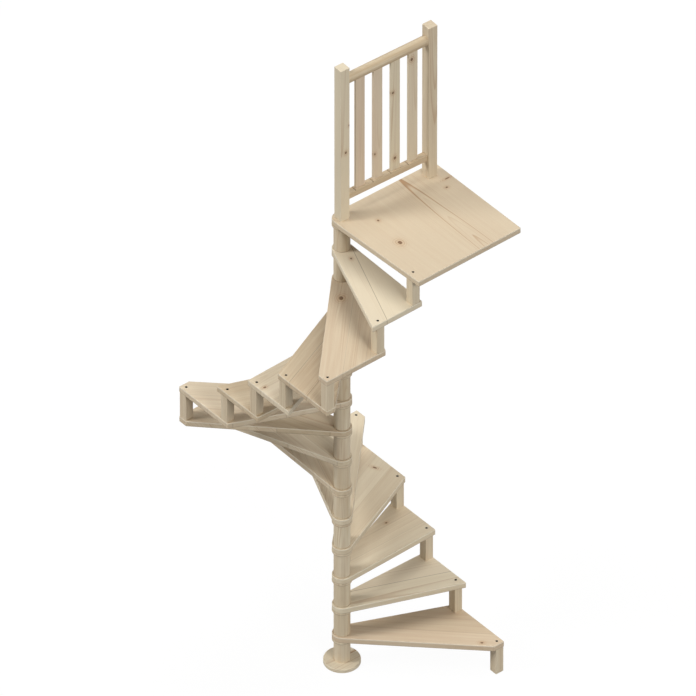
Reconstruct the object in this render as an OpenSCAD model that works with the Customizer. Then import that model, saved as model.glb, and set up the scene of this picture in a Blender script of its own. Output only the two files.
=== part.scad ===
// Spiral staircase on a square plan. Wedge-shaped treads turn around a central column, a short
// post carries each one at its outer edge, and a square landing with a slatted balustrade ends it.
// Origin: on the floor at the column's axis. +Z is up and the stair climbs counter-clockwise.

/* [Flight] */
// Side of the square that the treads fill
plan_side = 1200; // [1000:10:1500]
// Height from one walking surface to the next
riser = 200; // [170:5:220]
// Number of treads below the landing
tread_count = 14; // [8:1:20]
// Thickness of the treads and of the landing
tread_t = 34; // [28:1:45]
// Width of tread in front of the line through its bolt
front_lap = 41; // [36:1:60]
// The same width for a tread whose bolt stands in a corner
corner_lap = 47; // [36:1:60]
// Width of tread behind the line through the next tread's bolt
rear_lap = 39; // [36:1:60]

/* [Column] */
// Diameter of the spacers that keep the treads apart
spacer_d = 88; // [60:1:95]
// Diameter of the narrow end of each tread and of the ring below it
boss_d = 107; // [100:1:140]
// Height of the ring below each tread
ring_h = 13; // [5:1:25]
// Diameter of the base flange
flange_d = 198; // [160:2:260]
// Thickness of the base flange
flange_t = 22; // [15:1:40]
// Radius of the base flange's upper edge
flange_round = 5; // [1:1:8]

/* [Posts and screws] */
// Side of each square post
post_w = 50; // [40:1:54]
// Distance from the edge of the plan to the middle of a post
post_inset = 27; // [25:1:40]
// Depth of the counterbore over each post
counterbore_depth = 10; // [8:1:18]
// Gap around a screw head in its counterbore
screw_clearance = 1; // [0.5:0.5:3]
// Diameter of the screw head in the counterbore
screw_head_d = 13; // [8:1:14]
// Height of the screw head
screw_head_h = 8; // [3:1:8]
// Width across the flats of the screw's hexagon socket
screw_socket = 6; // [3:1:8]
// Depth of the hexagon socket
screw_socket_depth = 4; // [2:1:5]

/* [Landing] */
// How far the landing reaches past the square of the treads on its two outer sides
landing_reach = 55; // [0:5:200]
// How far the landing's front edge stands past the column's axis at its outer end
landing_front = 30; // [0:1:50]
// How far the landing's rear edge stands past the column's axis at its outer end
landing_rear = 44; // [5:1:50]

/* [Balustrade] */
// Height of the two newels above the landing
newel_h = 1000; // [850:10:1100]
// Side of each square newel
newel_w = 57; // [50:1:70]
// Chamfer around the top of each newel
newel_chamfer = 2; // [1:0.5:6]
// Distance from the landing's outer side to the middle of the outer newel
newel_inset = 84; // [40:1:150]
// Turn of the balustrade about the column, away from the landing's rear edge
balustrade_turn = 2.2; // [0:0.1:4]
// Diameter of the round handrail
handrail_d = 56; // [36:1:56]
// Height of the handrail's axis above the landing
handrail_h = 910; // [700:5:1000]
// Side of the square bottom rail
bottom_rail_w = 38; // [25:1:45]
// Radius of the bottom rail's upper edges
bottom_rail_round = 5; // [1:1:10]
// Gap between the landing and the bottom rail
bottom_rail_gap = 118; // [60:1:150]
// Number of slats
slat_count = 4; // [2:1:5]
// Width of each slat
slat_w = 58; // [40:1:70]
// Thickness of each slat
slat_t = 16; // [10:1:20]

/* [Hidden] */
$fn = 96;
STEPS_PER_SIDE = 4;
SIDE_ANGLE = 90;
step_angle = SIDE_ANGLE / STEPS_PER_SIDE;
corner_angle = -SIDE_ANGLE / 2;
landing_level = tread_count + 1;
landing_angle = 270;
half = plan_side / 2;
post_reach = half - post_inset;
// Circle just inside the boss that the sides of a tread touch, so that they meet the boss cleanly
side_r = boss_d / 2 - 0.5;
post_h = riser - tread_t;
counterbore_d = screw_head_d + 2 * screw_clearance;
reach = half + landing_reach;
newel_span = reach - newel_inset;
rail_length = newel_span - newel_w;
slat_gap = (rail_length - slat_count * slat_w) / (slat_count + 1);
landing_top = landing_level * riser;
bottom_rail_top = landing_top + bottom_rail_gap + bottom_rail_w;
overshoot = 1;
pine = [0.89, 0.81, 0.67];
column_pine = [0.86, 0.77, 0.62];
screw_grey = [0.16, 0.16, 0.17];
levels = [1:landing_level];

function two_digits(n) = n < 10 ? str("0", n) : str(n);
function tread_name(n) = str("tread_", two_digits(n));
function post_name(n) = str("post_", two_digits(n));
function slat_name(i) = str("slat_", i);

// Direction from the column to the bolt of the tread at level n
function bolt_angle(n) = landing_angle - (landing_level - n) * step_angle;
// Place of that bolt, on a square inside the plan's edge
function bolt_at(n) = let (a = bolt_angle(n))
    post_reach / max(abs(cos(a)), abs(sin(a))) * [cos(a), sin(a)];
// Quarter turns from the plan's +X side to the side that level n's tread meets
function quarter(n) = floor((bolt_angle(n) - corner_angle) / SIDE_ANGLE);
// Bolt direction with the quarter turns taken away: from -45 up to 22.5 degrees
function side_angle(n) = bolt_angle(n) - quarter(n) * SIDE_ANGLE;

// Point where a line along angle a, moved sideways by s (to its left), meets the x of a side
function on_x(x, a, s) = [x, x * tan(a) + s / cos(a)];
// Point where the same line meets the y of a side
function on_y(y, a, s) = [y / tan(a) - s / sin(a), y];
// Point where the tangent from p touches the side circle: seen from the column towards p, on its
// left with turn = 1 and on its right with turn = -1
function side_tangent(p, turn) = let (d2 = p * p)
    side_r / d2 * (side_r * p + turn * sqrt(d2 - side_r * side_r) * [-p[1], p[0]]);

// Wedge from the boss to the edge of the plan, for a tread that meets the +X side
module tread_outline(a) {
    at_first_corner = a == corner_angle;
    at_last_corner = a + step_angle == -corner_angle;
    front = at_first_corner ? on_y(-half, a, -corner_lap) : on_x(half, a, -front_lap);
    rear = at_last_corner ? on_y(half, a + step_angle, rear_lap) : on_x(half, a + step_angle, rear_lap);
    circle(d = boss_d);
    polygon(concat(
        [side_tangent(front, -1), front],
        at_first_corner ? [[half, -half]] : [],
        at_last_corner ? [[half, half]] : [],
        [rear, side_tangent(rear, 1)]
    ));
}

// Room for the screw head at the top of level n
module counterbore(n) {
    translate([bolt_at(n)[0], bolt_at(n)[1], n * riser - counterbore_depth])
        cylinder(d = counterbore_d, h = counterbore_depth + overshoot);
}

module tread(n) {
    color(pine) difference() {
        translate([0, 0, n * riser - tread_t]) rotate(quarter(n) * SIDE_ANGLE)
            linear_extrude(tread_t) tread_outline(side_angle(n));
        counterbore(n);
    }
}

module landing() {
    front = [-landing_front, -reach];
    rear = [reach, landing_rear];
    color(pine) difference() {
        translate([0, 0, landing_top - tread_t]) linear_extrude(tread_t) {
            circle(d = boss_d);
            polygon([side_tangent(front, -1), front, [reach, -reach], rear, side_tangent(rear, 1)]);
        }
        counterbore(landing_level);
    }
}

module base_flange() {
    color(column_pine) rotate_extrude() {
        square([flange_d / 2, flange_t - flange_round]);
        square([flange_d / 2 - flange_round, flange_t]);
        translate([flange_d / 2 - flange_round, flange_t - flange_round]) circle(r = flange_round);
    }
}

// Spacers from each walking surface to the next ring; the lowest stands on the flange
module column_spacers() {
    color(column_pine) for (n = levels) {
        bottom = n == 1 ? flange_t : (n - 1) * riser;
        top = n * riser - tread_t - ring_h;
        translate([0, 0, bottom]) cylinder(d = spacer_d, h = top - bottom);
    }
}

module height_rings() {
    color(column_pine) for (n = levels)
        translate([0, 0, n * riser - tread_t - ring_h]) cylinder(d = boss_d, h = ring_h);
}

// Post from the tread or floor below up to the underside of level n
module post(n) {
    color(pine) translate([bolt_at(n)[0] - post_w / 2, bolt_at(n)[1] - post_w / 2, (n - 1) * riser])
        cube([post_w, post_w, post_h]);
}

// Cap-head screws, seated in the counterbores
module corner_screws() {
    color(screw_grey) for (n = levels)
        translate([bolt_at(n)[0], bolt_at(n)[1], n * riser - counterbore_depth]) difference() {
            cylinder(d = screw_head_d, h = screw_head_h);
            translate([0, 0, screw_head_h - screw_socket_depth])
                cylinder(d = screw_socket / cos(30), h = screw_socket_depth + overshoot, $fn = 6);
        }
}

// Frame of the balustrade: x runs along it from the column's axis, z up from the floor
module along_balustrade(x) {
    rotate(-balustrade_turn) translate([x, 0, 0]) children();
}

// Side of a newel seen level, with both upper corners cut off
module newel_side() {
    w = newel_w / 2;
    c = newel_chamfer;
    polygon([[-w, 0], [w, 0], [w, newel_h - c], [w - c, newel_h], [c - w, newel_h], [-w, newel_h - c]]);
}

module newel(x) {
    color(pine) along_balustrade(x) translate([0, 0, landing_top]) intersection() {
        rotate([90, 0, 0]) linear_extrude(newel_w, center = true) newel_side();
        rotate([90, 0, 90]) linear_extrude(newel_w, center = true) newel_side();
    }
}

module handrail_bar(length) {
    translate([0, 0, landing_top + handrail_h]) rotate([0, 90, 0]) cylinder(d = handrail_d, h = length);
}

module handrail() {
    color(pine) along_balustrade(newel_w / 2) handrail_bar(rail_length);
}

module bottom_rail() {
    w = bottom_rail_w;
    r = bottom_rail_round;
    color(pine) along_balustrade(newel_w / 2)
        translate([0, 0, bottom_rail_top - w]) rotate([90, 0, 90]) linear_extrude(rail_length) {
            translate([-w / 2, 0]) square([w, w - r]);
            translate([r - w / 2, 0]) square([w - 2 * r, w]);
            for (side = [-1, 1]) translate([side * (w / 2 - r), w - r]) circle(r = r);
        }
}

// Slat from the bottom rail up to the handrail, its top cut to the handrail's curve
module slat(i) {
    x = newel_w / 2 + i * slat_gap + (i - 1) * slat_w;
    color(pine) along_balustrade(x) difference() {
        translate([0, -slat_t / 2, bottom_rail_top])
            cube([slat_w, slat_t, landing_top + handrail_h - bottom_rail_top]);
        translate([-overshoot, 0, 0]) handrail_bar(slat_w + 2 * overshoot);
    }
}

base_flange();
column_spacers();
height_rings();
corner_screws();
landing();
post(1);  // foot_post
newel(0);  // newel_inner
newel(newel_span);  // newel_outer
handrail();
bottom_rail();
for (n = [1:tread_count]) tread(n);
for (n = [2:landing_level]) post(n);
for (i = [1:slat_count]) slat(i);
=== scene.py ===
import math
import bpy
import numpy as np
from mathutils import Matrix, Vector


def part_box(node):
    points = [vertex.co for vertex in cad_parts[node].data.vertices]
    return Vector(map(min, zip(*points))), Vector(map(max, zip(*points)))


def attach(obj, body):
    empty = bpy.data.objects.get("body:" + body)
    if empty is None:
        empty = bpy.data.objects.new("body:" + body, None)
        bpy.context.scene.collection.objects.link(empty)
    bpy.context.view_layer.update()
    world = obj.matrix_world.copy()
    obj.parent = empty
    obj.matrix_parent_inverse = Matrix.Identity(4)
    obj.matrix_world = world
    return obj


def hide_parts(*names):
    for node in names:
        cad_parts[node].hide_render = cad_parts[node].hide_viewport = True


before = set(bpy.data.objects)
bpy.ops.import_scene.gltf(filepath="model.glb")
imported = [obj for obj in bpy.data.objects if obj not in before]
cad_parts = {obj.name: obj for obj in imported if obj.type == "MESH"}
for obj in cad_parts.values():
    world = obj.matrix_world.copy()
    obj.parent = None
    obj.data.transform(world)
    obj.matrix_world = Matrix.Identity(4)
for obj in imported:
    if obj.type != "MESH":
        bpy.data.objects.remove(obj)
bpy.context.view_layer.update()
scene = bpy.context.scene
scene.view_settings.view_transform = "Standard"


# Where the CAD puts things.
def middle(node):
    low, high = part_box(node)
    return (low + high) / 2


def size(node):
    low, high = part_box(node)
    return high - low


treadNames = sorted(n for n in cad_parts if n.startswith("tread_"))
postNames = ["foot_post"] + sorted(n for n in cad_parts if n.startswith("post_"))
slatNames = sorted(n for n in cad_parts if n.startswith("slat_"))
levels = len(postNames)
tops = [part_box(n)[1].z for n in treadNames] + [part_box("landing")[1].z]  # walking surface of each level
riser = tops[1] - tops[0]
boardT = size("tread_01").z
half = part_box("tread_03")[1].x  # half the side of the square that the treads fill
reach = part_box("landing")[1].x
bolts = [np.array(middle(n)[:2]) for n in postNames]  # where each level is screwed to its post
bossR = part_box("height_rings")[1].x
railWay = (middle("newel_outer") - middle("newel_inner")).to_2d().normalized()
railTurn = math.atan2(railWay.y, railWay.x)


# Points and outward normals of a convex outline, counter-clockwise. It is given as arcs (centre, radius,
# first angle, last angle) joined by straight lines; a line is cut wherever its direction from the
# middle point turns by turnStep, and just inside both of its ends.
def outline(arcs, middlePoint=(0, 0), arcStep=math.radians(15), turnStep=math.radians(7.5), hold=0.0005):
    centre, points, normals = np.array(middlePoint, float), [], []
    for (c, r, first, last), (nextC, nextR, nextFirst, _) in zip(arcs, arcs[1:] + arcs[:1]):
        a = np.linspace(first, last, max(2, math.ceil((last - first) / arcStep) + 1))
        n = np.stack([np.cos(a), np.sin(a)], 1)
        points.append(np.array(c) + r * n)
        normals.append(n)
        start = points[-1][-1]
        end = np.array(nextC) + nextR * np.array([math.cos(nextFirst), math.sin(nextFirst)])
        along = (end - start) / np.linalg.norm(end - start)
        start, end = start + hold * along, end - hold * along
        turns = [math.atan2(*(p - centre)[::-1]) for p in (start, end)]
        sweep = (turns[1] - turns[0]) % (2 * math.pi)
        t = turns[0] + sweep * np.linspace(0, 1, max(2, math.ceil(sweep / turnStep) + 1))
        ray = np.stack([np.cos(t), np.sin(t)], 1)
        points.append(centre + ((start - centre) @ n[-1] / (ray @ n[-1]))[:, None] * ray)
        normals.append(np.repeat(n[-1:], len(t), 0))
    return np.concatenate(points), np.concatenate(normals)


# Arcs of radius r in the corners of a shape whose sides face the given angles, in the order of the corners:
# each centre lies r inside both of the sides that meet there.
def cornerArcs(corners, facing, r):
    arcs = []
    for corner, (a, b) in zip(corners, facing):
        na, nb = (np.array([math.cos(t), math.sin(t)]) for t in (a, b))
        arcs.append((np.array(corner) - r * (na + nb) / (1 + na @ nb), r, a, b))
    return arcs


# A rectangle about the origin with rounded corners.
def barOutline(width, depth, r):
    x, y, quarter = width / 2, depth / 2, math.pi / 2
    return outline(cornerArcs([(x, -y), (x, y), (-x, y), (-x, -y)],
                              [((i - 1) * quarter, i * quarter) for i in range(4)], r))


# Profile of an edge from the top face down to the underside, as rows of (drawn in, height): a quarter
# round at both arrises, with a narrow flat beside each so that the faces stay flat in the shading.
def edgeProfile(bottom, top, topRound, bottomRound, hold=0.0004, steps=5):
    t = np.linspace(0, math.pi / 2, steps)
    upper = np.stack([topRound * (1 - np.sin(t)), top - topRound * (1 - np.cos(t))], 1)
    lower = np.stack([bottomRound * (1 - np.sin(t)), bottom + bottomRound * (1 - np.cos(t))], 1)[::-1]
    return np.concatenate([[[topRound + hold, top]], upper, [[0, top - topRound - hold]],
                           [[0, bottom + bottomRound + hold]], lower, [[bottomRound + hold, bottom]]])


# Rings of a solid: the outline drawn in along its normals and lifted, once for each row of the profile.
def carried(points, normals, profile):
    flat = points - profile[:, 0, None, None] * normals
    height = np.broadcast_to(profile[:, 1, None, None], flat.shape[:2] + (1,))
    return np.concatenate([flat, height], 2)


# Rings of a turned solid about the z axis: radii and heights run from the top down.
def turned(radii, heights, columns=72):
    t = np.arange(columns) / columns * 2 * math.pi
    r = np.broadcast_to(np.array(radii, float).reshape(len(heights), -1), (len(heights), columns))
    z = np.broadcast_to(np.array(heights, float)[:, None], r.shape)
    return np.stack([r * np.cos(t), r * np.sin(t), z], 2)


# One closed solid from its rings: each ring is joined to the next, and the first and the last
# ring to a point in the middle of that end.
def closed(rings, first, last):
    rows, columns = rings.shape[:2]
    i = np.arange(rows * columns).reshape(rows, columns) + 1
    after = np.roll(i, -1, 1)
    quads = np.stack([i[:-1], i[1:], after[1:], after[:-1]], -1).reshape(-1, 4)
    ends = np.concatenate([np.stack([0 * i[0], i[0], after[0]], 1),
                           np.stack([i[-1], 0 * i[0] + rows * columns + 1, after[-1]], 1)])
    return np.concatenate([[first], rings.reshape(-1, 3), [last]]), quads, ends


# A piece from one or more closed solids, in the row frame, that stands for a CAD node.
def makePiece(name, solids, node, material):
    points, faces, count = [], [], 0
    for vertices, quads, ends in solids:
        points.append(vertices)
        faces += (quads + count).tolist() + (ends + count).tolist()
        count += len(vertices)
    mesh = bpy.data.meshes.new(name)
    mesh.from_pydata(np.concatenate(points).tolist(), [], faces)
    mesh.polygons.foreach_set("use_smooth", [True] * len(mesh.polygons))
    mesh.set_sharp_from_angle(angle=math.radians(35))
    mesh.materials.append(material)
    piece = bpy.data.objects.new(name, mesh)
    scene.collection.objects.link(piece)
    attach(piece, "root")
    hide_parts(node)
    return piece


# Points of a solid moved from its own axes to the row frame.
def placed(solid, origin, x, y, z):
    vertices, quads, ends = solid
    return vertices @ np.array([x, y, z], float) + np.array(origin, float), quads, ends


# A socket of a material's nodes that takes part in sums: each operation adds the node for it.
class Wire:
    def __init__(self, tree, socket):
        self.tree, self.socket = tree, socket

    def add(self, kind, settings=None, inputs=None, out=0):
        node = self.tree.nodes.new(kind)
        for key, value in (settings or {}).items():
            setattr(node, key, value)
        for key, value in (inputs or {}).items():
            if isinstance(value, Wire):
                self.tree.links.new(value.socket, node.inputs[key])
            else:
                node.inputs[key].default_value = value
        return Wire(self.tree, node.outputs[out])

    def math(self, operation, *values):
        return self.add("ShaderNodeMath", {"operation": operation}, dict(enumerate(values)))

    def __add__(self, other): return self.math("ADD", self, other)
    def __radd__(self, other): return self.math("ADD", other, self)
    def __sub__(self, other): return self.math("SUBTRACT", self, other)
    def __rsub__(self, other): return self.math("SUBTRACT", other, self)
    def __mul__(self, other): return self.math("MULTIPLY", self, other)
    def __rmul__(self, other): return self.math("MULTIPLY", other, self)
    def __truediv__(self, other): return self.math("DIVIDE", self, other)
    def __rtruediv__(self, other): return self.math("DIVIDE", other, self)
    def __gt__(self, other): return self.math("GREATER_THAN", self, other)
    def root(self): return self.math("SQRT", self)
    def fract(self): return self.math("FRACT", self)
    def floor(self): return self.math("FLOOR", self)
    def exp(self): return self.math("EXPONENT", self)


# Linear colour from its 0 to 255 screen values.
def paint(*levels):
    c = [v / 255 for v in levels]
    return [v / 12.92 if v <= 0.04045 else ((v + 0.055) / 1.055) ** 2.4 for v in c] + [1]


def blendColours(share, a, b, kind="MIX"):
    wire = share if isinstance(share, Wire) else a
    return wire.add("ShaderNodeMix", {"data_type": "RGBA", "blend_type": kind}, {0: share, 6: a, 7: b}, 2)


def smooth(value, low, high, start=0.0, end=1.0):
    return value.add("ShaderNodeMapRange", {"interpolation_type": "SMOOTHSTEP"},
                     {"Value": value, "From Min": low, "From Max": high, "To Min": start, "To Max": end})


# A bell: 1 where value is 0, falling off over width.
def bell(value, width):
    ratio = value / width
    return (ratio * ratio * -1).exp()


def split(wire):
    node = wire.tree.nodes.new("ShaderNodeSeparateXYZ")
    wire.tree.links.new(wire.socket, node.inputs[0])
    return [Wire(wire.tree, socket) for socket in node.outputs]


def newMaterial(name):
    material = bpy.data.materials.new(name)
    material.use_nodes = True
    tree = material.node_tree
    return material, tree, tree.nodes["Principled BSDF"]


pine = {
    "pale": paint(233, 220, 193),     # wood between the rings
    "deep": paint(197, 174, 139),     # broad darker streaks
    "late": paint(176, 134, 92),      # late wood, the thin dark line of a ring
    "blush": paint(226, 198, 176),    # pinkish boards
    "knot": paint(122, 88, 60),
    "knotRim": paint(84, 56, 37),
    "halo": paint(204, 158, 110),     # stained wood around a knot
    # colour of the glue seams, also used for the painted shade lines under board edges and around the column
    "seam": paint(120, 98, 74),
    "arris": paint(247, 239, 220),    # painted highlight along the upper arris of a board
    "ring": 0.0052,                   # from one year's ring to the next
    "lines": 0.42,                    # strength of the late wood
    "roughness": 0.6,
    "seamWidth": 0.0013,
    "jointWidth": 0.0022,
    "contactShadeWidth": 0.0028,
    "edgeShadeWidth": 0.0035,
}
plainLook = {
    "origin": (0, 0, 0),
    "tone": 0.0,          # darker above 0
    "blush": 0.0,         # share of pink
    "contrast": 1.0,      # of the ring lines
    "streaks": 1.0,
    "ring": pine["ring"],
    "figure": None,       # keeps the ring lines within this distance of the log's middle
    "depth": 0.07,        # of the log's middle below the face
    "lean": 0.012,        # of the log along the grain
    "offset": 0.0,        # of the log's middle across the board
    "slant": 0.0,         # of the grain within the face
    "every": None,        # length of the pieces that follow each other along the grain
    "seams": [],          # where staves are glued, across the board
    "seamDark": 0.25,
    "knots": [],          # (x, y, radius, stretch across the grain)
    "joints": [],         # dark lines across the top face
    "contactShade": [],       # painted shade lines around the column where parts meet, once for each level
    "edge": None,         # thickness of a board, which gets a painted shade line along its lower arris and a painted highlight along its upper one
}


# Pine cut from a log: the rings are circles about the log's middle line, bent by slow waves and led
# around the knots, so each face shows the grain that such a cut would. x runs along the grain, y across
# the board and z out of its face, from look's origin. Staves glued side by side come from different logs.
def pineMaterial(name, look):
    look = {**plainLook, **look}
    seed = look["seed"]
    material, tree, shader = newMaterial(name)
    along, across = Vector(look["along"]), Vector(look["across"])
    turn = Matrix((along, across, along.cross(across))).transposed().to_euler()
    start = Wire(tree, tree.nodes.new("ShaderNodeTexCoord").outputs["Object"])
    place = start.add("ShaderNodeMapping", {"vector_type": "TEXTURE"},
                      {"Vector": start, "Location": look["origin"], "Rotation": turn})
    x, y, z = split(place)

    def stretched(scale, detail=2.0, rough=0.5, shift=0.0):
        vector = place.add("ShaderNodeVectorMath", {"operation": "MULTIPLY_ADD"},
                           {0: place, 1: scale, 2: (shift + seed * 3.7, seed * 1.3, shift)})
        return place.add("ShaderNodeTexNoise", {},
                         {"Vector": vector, "Scale": 1.0, "Detail": detail, "Roughness": rough})

    def dice(value, out=0):
        return place.add("ShaderNodeTexWhiteNoise", {"noise_dimensions": "1D"}, {"W": value}, out)

    wave = stretched((1.3, 6, 6), 2) - 0.5                     # slow bend of the log
    ripple = stretched((8, 40, 40), 2, shift=5.0) - 0.5        # small unevenness of the rings
    streak = stretched((1.6, 45, 45), 3, 0.6, shift=9.0)       # darker bands along the grain
    fibre = stretched((24, 1300, 1300), 3, 0.65, shift=2.0)    # the finest lines
    stave = x * 0
    for seam in look["seams"]:
        stave = stave + (y > seam)
    if look["every"]:
        stave = (x / look["every"]).floor()
    sortA, sortB, sortC = split(dice(stave * 3.17 + (seed * 1.71 + 0.3), 1))

    led = y
    for kx, ky, kr, wide in look["knots"]:
        near = bell(x - kx, 3.2 * kr) * bell(y - ky, 2.2 * kr * wide)
        led = led - (y - ky) * near * 0.8
    acrossLog = led + x * look["slant"] + (sortA - 0.5) * 0.06 - look["offset"] + wave * 0.022 + ripple * 0.0016
    downLog = z - (sortB * 0.03 + (look["depth"] - 0.015)) + x * look["lean"] + wave * 0.012
    radius = (acrossLog * acrossLog + downLog * downLog).root()
    pace = place.add("ShaderNodeTexNoise", {"noise_dimensions": "1D"},
                     {"W": radius * 70 + sortC * 9, "Scale": 1.0, "Detail": 1.0})
    year = radius / look["ring"] + pace * 2.6
    season = year.fract()
    strong = dice(year.floor() + seed * 17.0)
    late = smooth(season, 0.45, 0.9) * smooth(season, 0.92, 1.0, 1.0, 0.0)
    late = late * smooth(strong, 0.25, 0.95, 0.15, 1.0)
    patch = smooth(stretched((1.4, 11, 11), 1, shift=13.0), 0.38, 0.66, 0.14, 1.0)
    if look["figure"]:  # the ring lines are strongest near the middle of the log
        patch = patch * 0.08 + bell(acrossLog, look["figure"]) * 0.92
    deep = (streak - 0.5) * (1.1 * look["streaks"]) + (fibre - 0.5) * 0.45
    deep = deep + (sortB - 0.5) * 0.3 + (0.20 + look["tone"])
    colour = blendColours(deep.add("ShaderNodeClamp", {}, {"Value": deep}), pine["pale"], pine["deep"])
    pink = (sortC * 0.16 + look["blush"]) * smooth(streak, 0.2, 0.8, 0.5, 1.0)
    colour = blendColours(pink, colour, pine["blush"])
    colour = blendColours(late * patch * (pine["lines"] * look["contrast"]), colour, pine["late"])
    for seam in look["seams"]:
        colour = blendColours(bell(y - seam, pine["seamWidth"]) * look["seamDark"], colour, pine["seam"])
    for joint in look["joints"]:
        line = bell(x - joint, pine["jointWidth"]) * smooth(z, -0.005, -0.002)
        colour = blendColours(line * 0.8, colour, pine["knotRim"])
    for kx, ky, kr, wide in look["knots"]:
        dx, dy = x - kx + wave * 0.01, (y - ky + ripple * (0.9 * kr)) / wide
        far = (dx * dx * 0.8 + dy * dy * 1.3).root() / kr
        inside = smooth(far, 0.7, 1.05, 1.0, 0.0)
        whorl = smooth((far * 0.8 + ripple * 1.5).fract(), 0.5, 0.95) * bell(far - 1.2, 2.6)
        colour = blendColours(bell(far, 2.6) * 0.38, colour, pine["halo"])
        colour = blendColours(whorl * 0.6, colour, pine["late"])
        colour = blendColours(inside * (0.7 + (far * 4 + ripple * 2).fract() * 0.3), colour, pine["knot"])
        colour = blendColours(bell(far - 0.9, 0.28) * smooth(fibre, 0.2, 0.7, 0.45, 0.95), colour, pine["knotRim"])
    for offset in look["contactShade"]:  # painted shade lines around the column where parts meet, one for each level
        away = ((x / riser + (0.5 - offset / riser)).fract() - 0.5) * riser
        colour = blendColours(bell(away, pine["contactShadeWidth"]) * 0.7, colour, pine["seam"])
    if look["edge"]:
        # painted shade: a dark line along the lower arris
        colour = blendColours(bell(z + look["edge"], pine["edgeShadeWidth"]) * 0.6, colour, pine["seam"])
        # painted highlight: a pale band on the edge face just under the upper arris
        arris = smooth(z, -0.0075, -0.0045) * smooth(z, -0.0008, -0.0003, 1.0, 0.0)
        colour = blendColours(arris * 0.6, colour, pine["arris"])
    tree.links.new(colour.socket, shader.inputs["Base Color"])
    tree.links.new((pine["roughness"] + (fibre - 0.5) * 0.16 - late * 0.05).socket, shader.inputs["Roughness"])
    bump = place.add("ShaderNodeBump", {}, {"Strength": 0.35, "Distance": 0.0004, "Height": fibre * 0.7 + late * 0.3})
    tree.links.new(bump.socket, shader.inputs["Normal"])
    shader.inputs["Specular IOR Level"].default_value = 0.35
    return material


def unit(angle):
    return np.array([math.cos(angle), math.sin(angle)])


board = {
    "frontLap": 0.041,        # tread in front of the line through its bolt
    "cornerLap": 0.047,       # the same for a tread whose bolt stands in a corner
    "rearLap": 0.039,         # tread behind the line through the next tread's bolt
    "neck": bossR - 0.0005,   # the round end at the column
    "cornerRound": 0.003,     # corners seen from above
    "arris": 0.0024,          # rounding along the upper and lower edges
    "bore": 0.0075,           # radius of the counterbore over the post
    "boreDepth": 0.010,
    "boreEdge": 0.0008,
    "landingFront": (-0.030, -reach),
    "landingRear": (reach, 0.044),
}


# Where a line at the given angle, moved sideways (to its left if more than 0), leaves the square of the treads.
def leavesSquare(angle, sideways):
    u, off = unit(angle), sideways * unit(angle + math.pi / 2)
    steps = [(half * math.copysign(1, u[k]) - off[k]) / u[k] for k in (0, 1) if abs(u[k]) > 1e-6]
    return off + min(steps) * u


# A board that runs from the round neck out to the given corners. Its sides touch the neck.
def boardSolid(corners, facing, bolt, top):
    first, last = corners[0], corners[-1]
    lean = [math.acos(board["neck"] / np.linalg.norm(p)) for p in (first, last)]
    sides = [math.atan2(first[1], first[0]) - lean[0]] + facing + [math.atan2(last[1], last[0]) + lean[1]]
    sides = [sides[0] + (s - sides[0]) % (2 * math.pi) for s in sides]
    arcs = cornerArcs(corners, list(zip(sides, sides[1:])), board["cornerRound"])
    arcs.append((np.zeros(2), board["neck"], sides[-1], sides[0] + 2 * math.pi))
    points, normals = outline(arcs, bolt)
    rings = carried(points, normals, edgeProfile(top - boardT, top, board["arris"], board["arris"]))
    way = rings[0, :, :2] - bolt
    way /= np.linalg.norm(way, axis=1)[:, None]
    bore, edge, floorZ = board["bore"], board["boreEdge"], top - board["boreDepth"]
    hole = [np.column_stack([bolt + r * way, np.full(len(way), z)]) for r, z in
            ((bore - 0.0004, floorZ), (bore, floorZ + 0.0004), (bore, top - edge - 0.0004), (bore, top - edge),
             (bore + 0.3 * edge, top - 0.3 * edge), (bore + edge, top), (bore + edge + 0.0004, top))]
    return closed(np.concatenate([np.array(hole), rings]), (*bolt, floorZ), (*bolt, top - boardT))


# Seams are distances behind the line through the tread's own bolt. Knots are (x, y, radius, stretch) seen from above.
# The darker tones of treads 1, 10 and 12 are partly darker wood and partly painted shade from the boards above them.
treadLooks = {
    1: {"seams": [0.052, 0.157, 0.262], "tone": 0.5, "blush": 0.22, "knots": [(0.502, -0.534, 0.006, 1)]},
    2: {"seams": [0.071], "seamDark": 0.7, "tone": -0.3, "streaks": 0.8},
    3: {"seams": [0.046, 0.148], "tone": 0.04, "contrast": 0.6, "streaks": 0.7,
        "knots": [(0.439, 0.165, 0.005, 1)]},
    4: {"seams": [0.066, 0.170], "seamDark": 0.12, "tone": 0.04, "contrast": 0.5, "streaks": 0.6,
        "knots": [(0.525, 0.364, 0.004, 3)]},
    5: {"seams": [0.055, 0.160, 0.265], "tone": 0.03, "knots": [(0.31, 0.52, 0.007, 1)]},
    6: {"seams": [0.062, 0.168], "tone": 0.25, "blush": 0.1},
    7: {"seams": [0.049, 0.155], "tone": 0.05, "knots": [(-0.08, 0.40, 0.006, 1)]},
    8: {"seams": [0.070, 0.172], "tone": 0.4},
    9: {"seams": [0.058, 0.163, 0.268], "tone": 0.10, "blush": 0.15},
    10: {"seams": [0.044, 0.150], "tone": 0.42},
    11: {"seams": [0.064, 0.171], "tone": 0.0, "knots": [(-0.568, -0.060, 0.006, 1)]},
    12: {"seams": [0.043, 0.174], "seamDark": 0.6, "tone": 0.45, "contrast": 1.5},
    13: {"seams": [0.075, 0.183], "tone": 0.26, "blush": 0.2, "knots": [(-0.112, -0.128, 0.011, 1)]},
    14: {"seams": [0.048], "seamDark": 0.75, "tone": -0.35, "contrast": 0.3, "streaks": 0.5,
         "knots": [(-0.022, -0.101, 0.005, 1)]},
}
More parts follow.
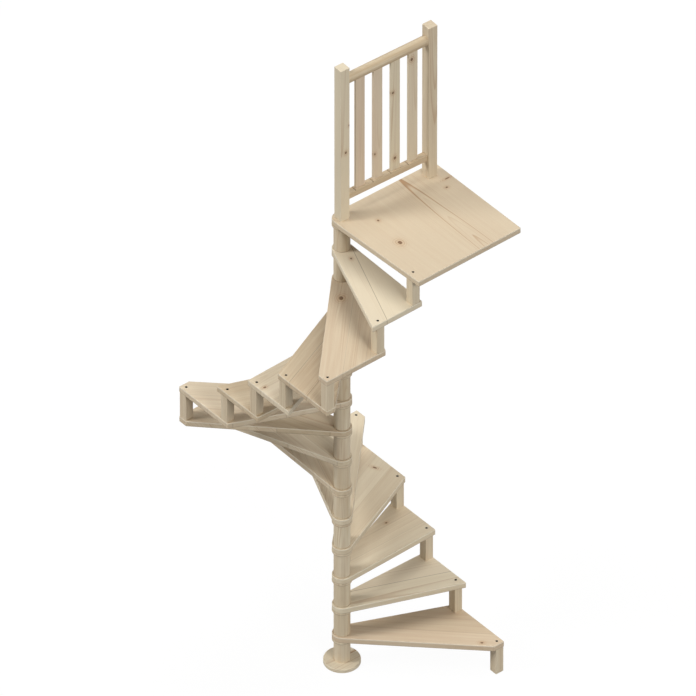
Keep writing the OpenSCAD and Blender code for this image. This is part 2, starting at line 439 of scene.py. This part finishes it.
landingLook = {
    "tone": 0.14, "blush": 0.12, "contrast": 2.0, "streaks": 0.4, "ring": 0.006,
    "depth": 0.06, "lean": -0.026, "offset": -0.439, "figure": 0.07,
    "knots": [(0.100, -0.347, 0.010, 1), (0.128, -0.139, 0.005, 1), (0.572, -0.158, 0.004, 1.6),
              (0.622, -0.103, 0.003, 5)],
}


# Direction in which the square's side through a point faces.
def sideFacing(point):
    if abs(point[0]) > half - 1e-6:
        return 0.0 if point[0] > 0 else math.pi
    return math.copysign(math.pi / 2, point[1])


# Knots turned from the row's axes to the board's own.
def ownAxes(points, along, across):
    return [(float(np.dot(p[:2], along)), float(np.dot(p[:2], across)), p[2], p[3]) for p in points]


for n, node in enumerate(treadNames, 1):
    bolt, nextBolt, top = bolts[n - 1], bolts[n], tops[n - 1]
    a, b = math.atan2(bolt[1], bolt[0]), math.atan2(nextBolt[1], nextBolt[0])
    inCorner = abs(abs(bolt[0]) - abs(bolt[1])) < 1e-4
    first = leavesSquare(a, -board["cornerLap"] if inCorner else -board["frontLap"])
    last = leavesSquare(b, board["rearLap"])
    sideOf = [sideFacing(p) for p in (first, last)]
    corners, facing = [first, last], [sideOf[0]]
    if sideOf[0] != sideOf[1]:
        corners.insert(1, half * (unit(sideOf[0]) + unit(sideOf[1])))
        facing.append(sideOf[1])
    look = dict(treadLooks[n])
    along, across = unit(a), unit(a + math.pi / 2)
    look.update(origin=(0, 0, top), along=(*along, 0), across=(*across, 0), seed=n, edge=boardT,
                lean=0.006 + 0.005 * (n % 4), knots=ownAxes(look.get("knots", []), along, across))
    makePiece(f"stepBoard{n:02d}", [boardSolid(corners, facing, bolt, top)], node,
              pineMaterial(f"stepPine{n:02d}", look))

look = dict(landingLook, origin=(0, 0, tops[-1]), along=(0, 1, 0), across=(-1, 0, 0), seed=21, edge=boardT)
look["knots"] = ownAxes(look["knots"], (0, 1), (-1, 0))
landingCorners = [np.array(board["landingFront"]), np.array([reach, -reach]), np.array(board["landingRear"])]
landingSolid = boardSolid(landingCorners, [-math.pi / 2, 0.0], bolts[-1], tops[-1])
makePiece("landingBoard", [landingSolid], "landing", pineMaterial("landingPine", look))
print("treads and landing:", len(treadNames) + 1)


post = {"round": 0.0025, "end": 0.0008}  # rounding of the long edges and of the two ends

for n, node in enumerate(postNames, 1):
    low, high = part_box(node)
    width = high.x - low.x
    points, normals = barOutline(width, width, post["round"])
    rings = carried(points, normals, edgeProfile(low.z, high.z, post["end"], post["end"]))
    solid = placed(closed(rings, (0, 0, high.z), (0, 0, low.z)), (*bolts[n - 1], 0), (1, 0, 0), (0, 1, 0), (0, 0, 1))
    across = unit(math.radians((n * 137) % 360))  # each post is turned another way in its log
    look = {"origin": (*bolts[n - 1], low.z), "along": (0, 0, 1), "across": (*across, 0), "seed": 40 + n,
            "lean": 0.02, "depth": 0.03 + 0.012 * (n % 3), "tone": 0.02 + 0.05 * ((n * 5) % 4) / 4, "contrast": 0.9}
    makePiece(f"stepPost{n:02d}", [solid], node, pineMaterial(f"postPine{n:02d}", look))
print("posts:", levels)


column = {"ringRound": 0.0018, "spacerRound": 0.0008, "flangeRound": 0.005, "flangeFoot": 0.001}


# A turned solid with rounded rims, from bottom to top.
def turnedSolid(r, bottom, top, topRound, bottomRound):
    profile = edgeProfile(bottom, top, topRound, bottomRound, steps=6)
    return closed(turned(r - profile[:, :1], profile[:, 1], 96), (0, 0, top), (0, 0, bottom))


ringH = size("height_rings").z - riser * (levels - 1)
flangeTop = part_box("base_flange")[1].z
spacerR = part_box("column_spacers")[1].x
ringLow = [top - boardT - ringH for top in tops]
turnedLook = {"along": (0, 0, 1), "across": (1, 0, 0), "every": riser}
columnLooks = {
    "ringPine": {**turnedLook, "seed": 61, "tone": 0.10, "lean": 0.01, "contactShade": [ringLow[0]]},
    "spacerPine": {**turnedLook, "seed": 62, "tone": 0.14, "lean": 0.015, "contactShade": [ringLow[0], tops[0]],
                   "streaks": 1.5, "contrast": 1.6},
    # the flange's pale tone is painted light, making up for the shade of the lowest treads over it
    "flangePine": {"along": (1, 0, 0), "across": (0, 1, 0), "origin": (0, 0, flangeTop), "seed": 63,
                   "tone": -0.45, "contrast": 2.0},
}
rings = [turnedSolid(bossR, z, z + ringH, column["ringRound"], column["ringRound"]) for z in ringLow]
makePiece("columnRings", rings, "height_rings", pineMaterial("ringPine", columnLooks["ringPine"]))
spacers = [turnedSolid(spacerR, low, high, column["spacerRound"], column["spacerRound"])
           for low, high in zip([flangeTop] + tops[:-1], ringLow)]
makePiece("columnSpacers", spacers, "column_spacers",
          pineMaterial("spacerPine", columnLooks["spacerPine"]))
flange = turnedSolid(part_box("base_flange")[1].x, 0, flangeTop, column["flangeRound"], column["flangeFoot"])
makePiece("columnFlange", [flange], "base_flange",
          pineMaterial("flangePine", columnLooks["flangePine"]))
print("column: flange, spacers and rings for", levels, "levels")


screw = {"socketFlats": 0.006, "socketDepth": 0.004, "edge": 0.0006, "hold": 0.0002}


# Heads with a hexagon socket. A hexagon's radius is its half width over the cosine of the angle from the
# middle of the nearest flat.
def screwHead(bolt, low, high, r):
    t = np.arange(48) / 48 * 2 * math.pi
    socket = screw["socketFlats"] / 2 / np.cos((t % (math.pi / 3)) - math.pi / 6)
    depth, edge, hold, rim = high - screw["socketDepth"], screw["edge"], screw["hold"], 0 * t + r
    radii = np.stack([socket * 0.9, socket, socket, socket + 0.0003, rim - edge - hold, rim - edge, rim - 0.3 * edge,
                      rim, rim, rim - hold])
    heights = [depth, depth, high - 0.0003, high, high, high, high - 0.3 * edge, high - edge, low, low]
    solid = closed(turned(radii, heights, 48), (0, 0, depth), (0, 0, low))
    return placed(solid, (*bolt, 0), (1, 0, 0), (0, 1, 0), (0, 0, 1))


steel, steelTree, steelShader = newMaterial("screwSteel")  # blackened
steelStart = Wire(steelTree, steelTree.nodes.new("ShaderNodeTexCoord").outputs["Object"])
smear = steelStart.add("ShaderNodeTexNoise", {}, {"Vector": steelStart, "Scale": 420.0, "Detail": 3.0})
steelTree.links.new(blendColours(smear, paint(4, 4, 4), paint(12, 12, 12)).socket, steelShader.inputs["Base Color"])
steelTree.links.new((smear * 0.25 + 0.45).socket, steelShader.inputs["Roughness"])
steelShader.inputs["Specular IOR Level"].default_value = 0.1
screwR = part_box("corner_screws")[1].y - max(b[1] for b in bolts)
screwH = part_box("corner_screws")[1].z - tops[-1] + board["boreDepth"]
makePiece("postScrews", [screwHead(b, top - board["boreDepth"], top - board["boreDepth"] + screwH, screwR)
                         for b, top in zip(bolts, tops)], "corner_screws", steel)
print("screws:", levels)


# In the balustrade x runs along it and y across it.
balustrade = {
    "newelRound": 0.0025, "newelTop": 0.002,
    "railTop": 0.005, "railFoot": 0.001,  # rounding of the bottom rail's upper and lower edges
    "slatRound": 0.002, "end": 0.0006,
    "jointAt": 0.038,                     # from a slat's middle to the dark line in the bottom rail
}
railX, railY = np.array([*railWay, 0.0]), np.array([-railWay.y, railWay.x, 0.0])
upright = (railX, railY, (0, 0, 1))
lying = (railY, (0, 0, 1), railX)  # outline across the rail, carried along it
spread = math.cos(railTurn) + abs(math.sin(railTurn))
newelW = size("newel_inner").x / spread
newelApart = np.linalg.norm(middle("newel_outer").to_2d() - middle("newel_inner").to_2d())
railFrom, railTo = newelW / 2, newelApart - newelW / 2


def balustradeLook(x, z, seed, **more):
    return {"origin": (*(railX * x)[:2], z), "along": (0, 0, 1), "across": tuple(railX), "seed": seed, **more}


newelLooks = {
    # the inner newel's pale tone is partly paler wood and partly painted light
    "newel_inner": {"tone": -0.5, "depth": 0.05, "lean": 0.01,
                    "knots": [(0.45, 0.003, 0.006, 1), (0.62, 0.026, 0.004, 1)]},
    "newel_outer": {"tone": 0.05, "depth": 0.06, "lean": 0.01},
}
newelPieces = ("innerNewel", "outerNewel")
for i, (node, more) in enumerate(newelLooks.items()):
    low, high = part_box(node)
    x = float(np.dot(middle(node), railX))
    points, normals = barOutline(newelW, newelW, balustrade["newelRound"])
    rings = carried(points, normals, edgeProfile(low.z, high.z, balustrade["newelTop"], balustrade["end"]))
    solid = placed(closed(rings, (0, 0, high.z), (0, 0, low.z)), railX * x, *upright)
    makePiece(newelPieces[i], [solid], node,
              pineMaterial(newelPieces[i] + "Pine", balustradeLook(x, low.z, 71 + i, **more)))

# The handrail is a round bar; the bottom rail is square with its upper edges rounded.
railLook = {"along": tuple(railX), "across": tuple(railY), "lean": 0.02}
low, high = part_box("handrail")
railR, railZ = (high.z - low.z) / 2, (high.z + low.z) / 2
profile = edgeProfile(railFrom, railTo, 0.0002, 0.0002)
handrailSolid = closed(turned(railR - profile[:, :1], profile[:, 1], 64), (0, 0, railTo), (0, 0, railFrom))
makePiece("handRail", [placed(handrailSolid, (0, 0, railZ), *lying)], "handrail",
          pineMaterial("handRailPine", {**railLook, "origin": (0, 0, railZ), "seed": 75, "tone": 0.75, "streaks": 1.8,
                                        "depth": 0.05}))

slatJoints = [float(np.dot(middle(n), railX)) - balustrade["jointAt"] for n in slatNames]
low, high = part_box("bottom_rail")
railW, q = high.z - low.z, math.pi / 2
softCorners = [(railW / 2, -railW / 2), (railW / 2, railW / 2), (-railW / 2, railW / 2), (-railW / 2, -railW / 2)]
arcs = []
for i, part in enumerate(("railFoot", "railTop", "railTop", "railFoot")):
    arcs += cornerArcs([softCorners[i]], [((i - 1) * q, i * q)], balustrade[part])
points, normals = outline(arcs)
bottomSolid = closed(carried(points, normals, profile), (0, 0, railTo), (0, 0, railFrom))
makePiece("bottomRail", [placed(bottomSolid, (0, 0, (low.z + high.z) / 2), *lying)], "bottom_rail",
          pineMaterial("bottomRailPine", {**railLook, "origin": (0, 0, high.z), "seed": 76, "tone": 0.6, "depth": 0.04,
                                          "joints": slatJoints}))

# the slats' pale tones are partly paler wood and partly painted light
slatLooks = [
    {"tone": -0.6, "blush": 0.5, "depth": 0.03, "offset": 0.01},
    {"tone": -0.4, "blush": 0.40, "depth": 0.05, "knots": [(0.166, -0.020, 0.005, 1)]},
    {"tone": -0.4, "blush": 0.0, "depth": 0.04, "knots": [(0.517, -0.018, 0.006, 1), (0.076, -0.005, 0.007, 1)]},
    {"tone": -0.4, "blush": 0.1, "depth": 0.04, "knots": [(0.677, -0.009, 0.008, 1)]},
]
for i, (node, more) in enumerate(zip(slatNames, slatLooks)):
    low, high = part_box(node)
    centre = float(np.dot(middle(node), railX))
    c, s = math.cos(railTurn), abs(math.sin(railTurn))
    slatW, slatT = ((size(node)[k] * c - size(node)[1 - k] * s) / (c * c - s * s) for k in (0, 1))
    points, normals = barOutline(slatW, slatT, balustrade["slatRound"])
    rings = carried(points, normals, edgeProfile(low.z, high.z, 0.0, balustrade["end"]))
    topRows = 8  # these follow the curve of the handrail
    rings[:topRows, :, 2] = railZ - np.sqrt(railR ** 2 - rings[:topRows, :, 1] ** 2)
    rings[topRows - 2:topRows, :, 2] -= 0.0004
    solid = placed(closed(rings, (0, 0, railZ - railR), (0, 0, low.z)), railX * centre, *upright)
    makePiece(f"slat{i + 1}", [solid], node,
              pineMaterial(f"slatPine{i + 1}", balustradeLook(centre, low.z, 80 + i, **more)))
print("balustrade:", len(slatNames), "slats")


# Floor, light and camera.
studio = {
    "sky": 0.185,                          # light from all around
    "lamps": {                             # where from, strength, spread in degrees
        "rearLight": ((-0.71, 0.39, 0.58), 1.5, 18),
        "frontLight": ((-0.1, -0.8, 0.54), 1.16, 24),
        "topLight": ((0.2, -0.02, 1.0), 1.05, 28),
    },
    "floor": paint(150, 149, 147), "floorSize": 40,
    "floorGlow": 0.86, "glow": 1.12,       # share and strength of the white that the camera sees there
    "azimuth": 39.779, "elevation": 39.734, "distance": 172.0,  # a long lens from far away
    "frameWidth": 3.6318, "aimRight": 0.0312, "aimUp": 1.6331,
}


# 1 for what the camera, a gloss or a clear surface sees, and 0 for light that falls on things.
def seenDirectly(tree):
    rays = tree.nodes.new("ShaderNodeLightPath").outputs
    camera, gloss, clear = (Wire(tree, rays[f"Is {kind} Ray"]) for kind in ("Camera", "Glossy", "Transmission"))
    return camera.math("MAXIMUM", camera, camera.math("MAXIMUM", gloss, clear))


world = bpy.data.worlds.new("studioLight")
scene.world = world
world.use_nodes = True
wires = world.node_tree
wires.nodes.clear()
strength = studio["sky"] + seenDirectly(wires) * (1 - studio["sky"])
backdrop = strength.add("ShaderNodeBackground", {}, {"Color": (1, 1, 1, 1), "Strength": strength})
worldOut = wires.nodes.new("ShaderNodeOutputWorld")
wires.links.new(backdrop.socket, worldOut.inputs["Surface"])

for name, (source, strength, spread) in studio["lamps"].items():
    lamp = bpy.data.lights.new(name, "SUN")
    lamp.energy, lamp.angle = strength, math.radians(spread)
    lampObject = bpy.data.objects.new(name, lamp)
    lampObject.rotation_euler = Vector(source).to_track_quat("Z", "Y").to_euler()
    scene.collection.objects.link(lampObject)

floorMesh = bpy.data.meshes.new("studioFloor")
f = studio["floorSize"] / 2
floorMesh.from_pydata([(-f, -f, 0), (f, -f, 0), (f, f, 0), (-f, f, 0)], [], [(0, 1, 2, 3)])
floor = bpy.data.objects.new("studioFloor", floorMesh)
scene.collection.objects.link(floor)
floorMaterial, floorTree, floorShader = newMaterial("floorPaint")
floorShader.inputs["Base Color"].default_value = studio["floor"]
floorShader.inputs["Roughness"].default_value = 0.9
share = seenDirectly(floorTree) * studio["floorGlow"]
glow = share.add("ShaderNodeEmission", {}, {"Color": (1, 1, 1, 1), "Strength": studio["glow"]})
floorMix = share.add("ShaderNodeMixShader", {}, {0: share, 1: Wire(floorTree, floorShader.outputs[0]), 2: glow})
floorTree.links.new(floorMix.socket, floorTree.nodes["Material Output"].inputs["Surface"])
floorMesh.materials.append(floorMaterial)

turn, rise = math.radians(studio["azimuth"]), math.radians(studio["elevation"])
right = Vector((math.cos(turn), -math.sin(turn), 0))
# Towards the camera.
back = Vector((-math.sin(turn) * math.cos(rise), -math.cos(turn) * math.cos(rise), math.sin(rise)))
up = back.cross(right)
camera = bpy.data.cameras.new("camera")
camera.sensor_width = 36
camera.lens = 36 * studio["distance"] / studio["frameWidth"]
camera.clip_end = 400
cameraObject = bpy.data.objects.new("camera", camera)
place = right * studio["aimRight"] + up * studio["aimUp"] + back * studio["distance"]
cameraObject.matrix_world = Matrix.Translation(place) @ Matrix((right, up, back)).transposed().to_4x4()
scene.collection.objects.link(cameraObject)
scene.camera = cameraObject
print("studio ready")
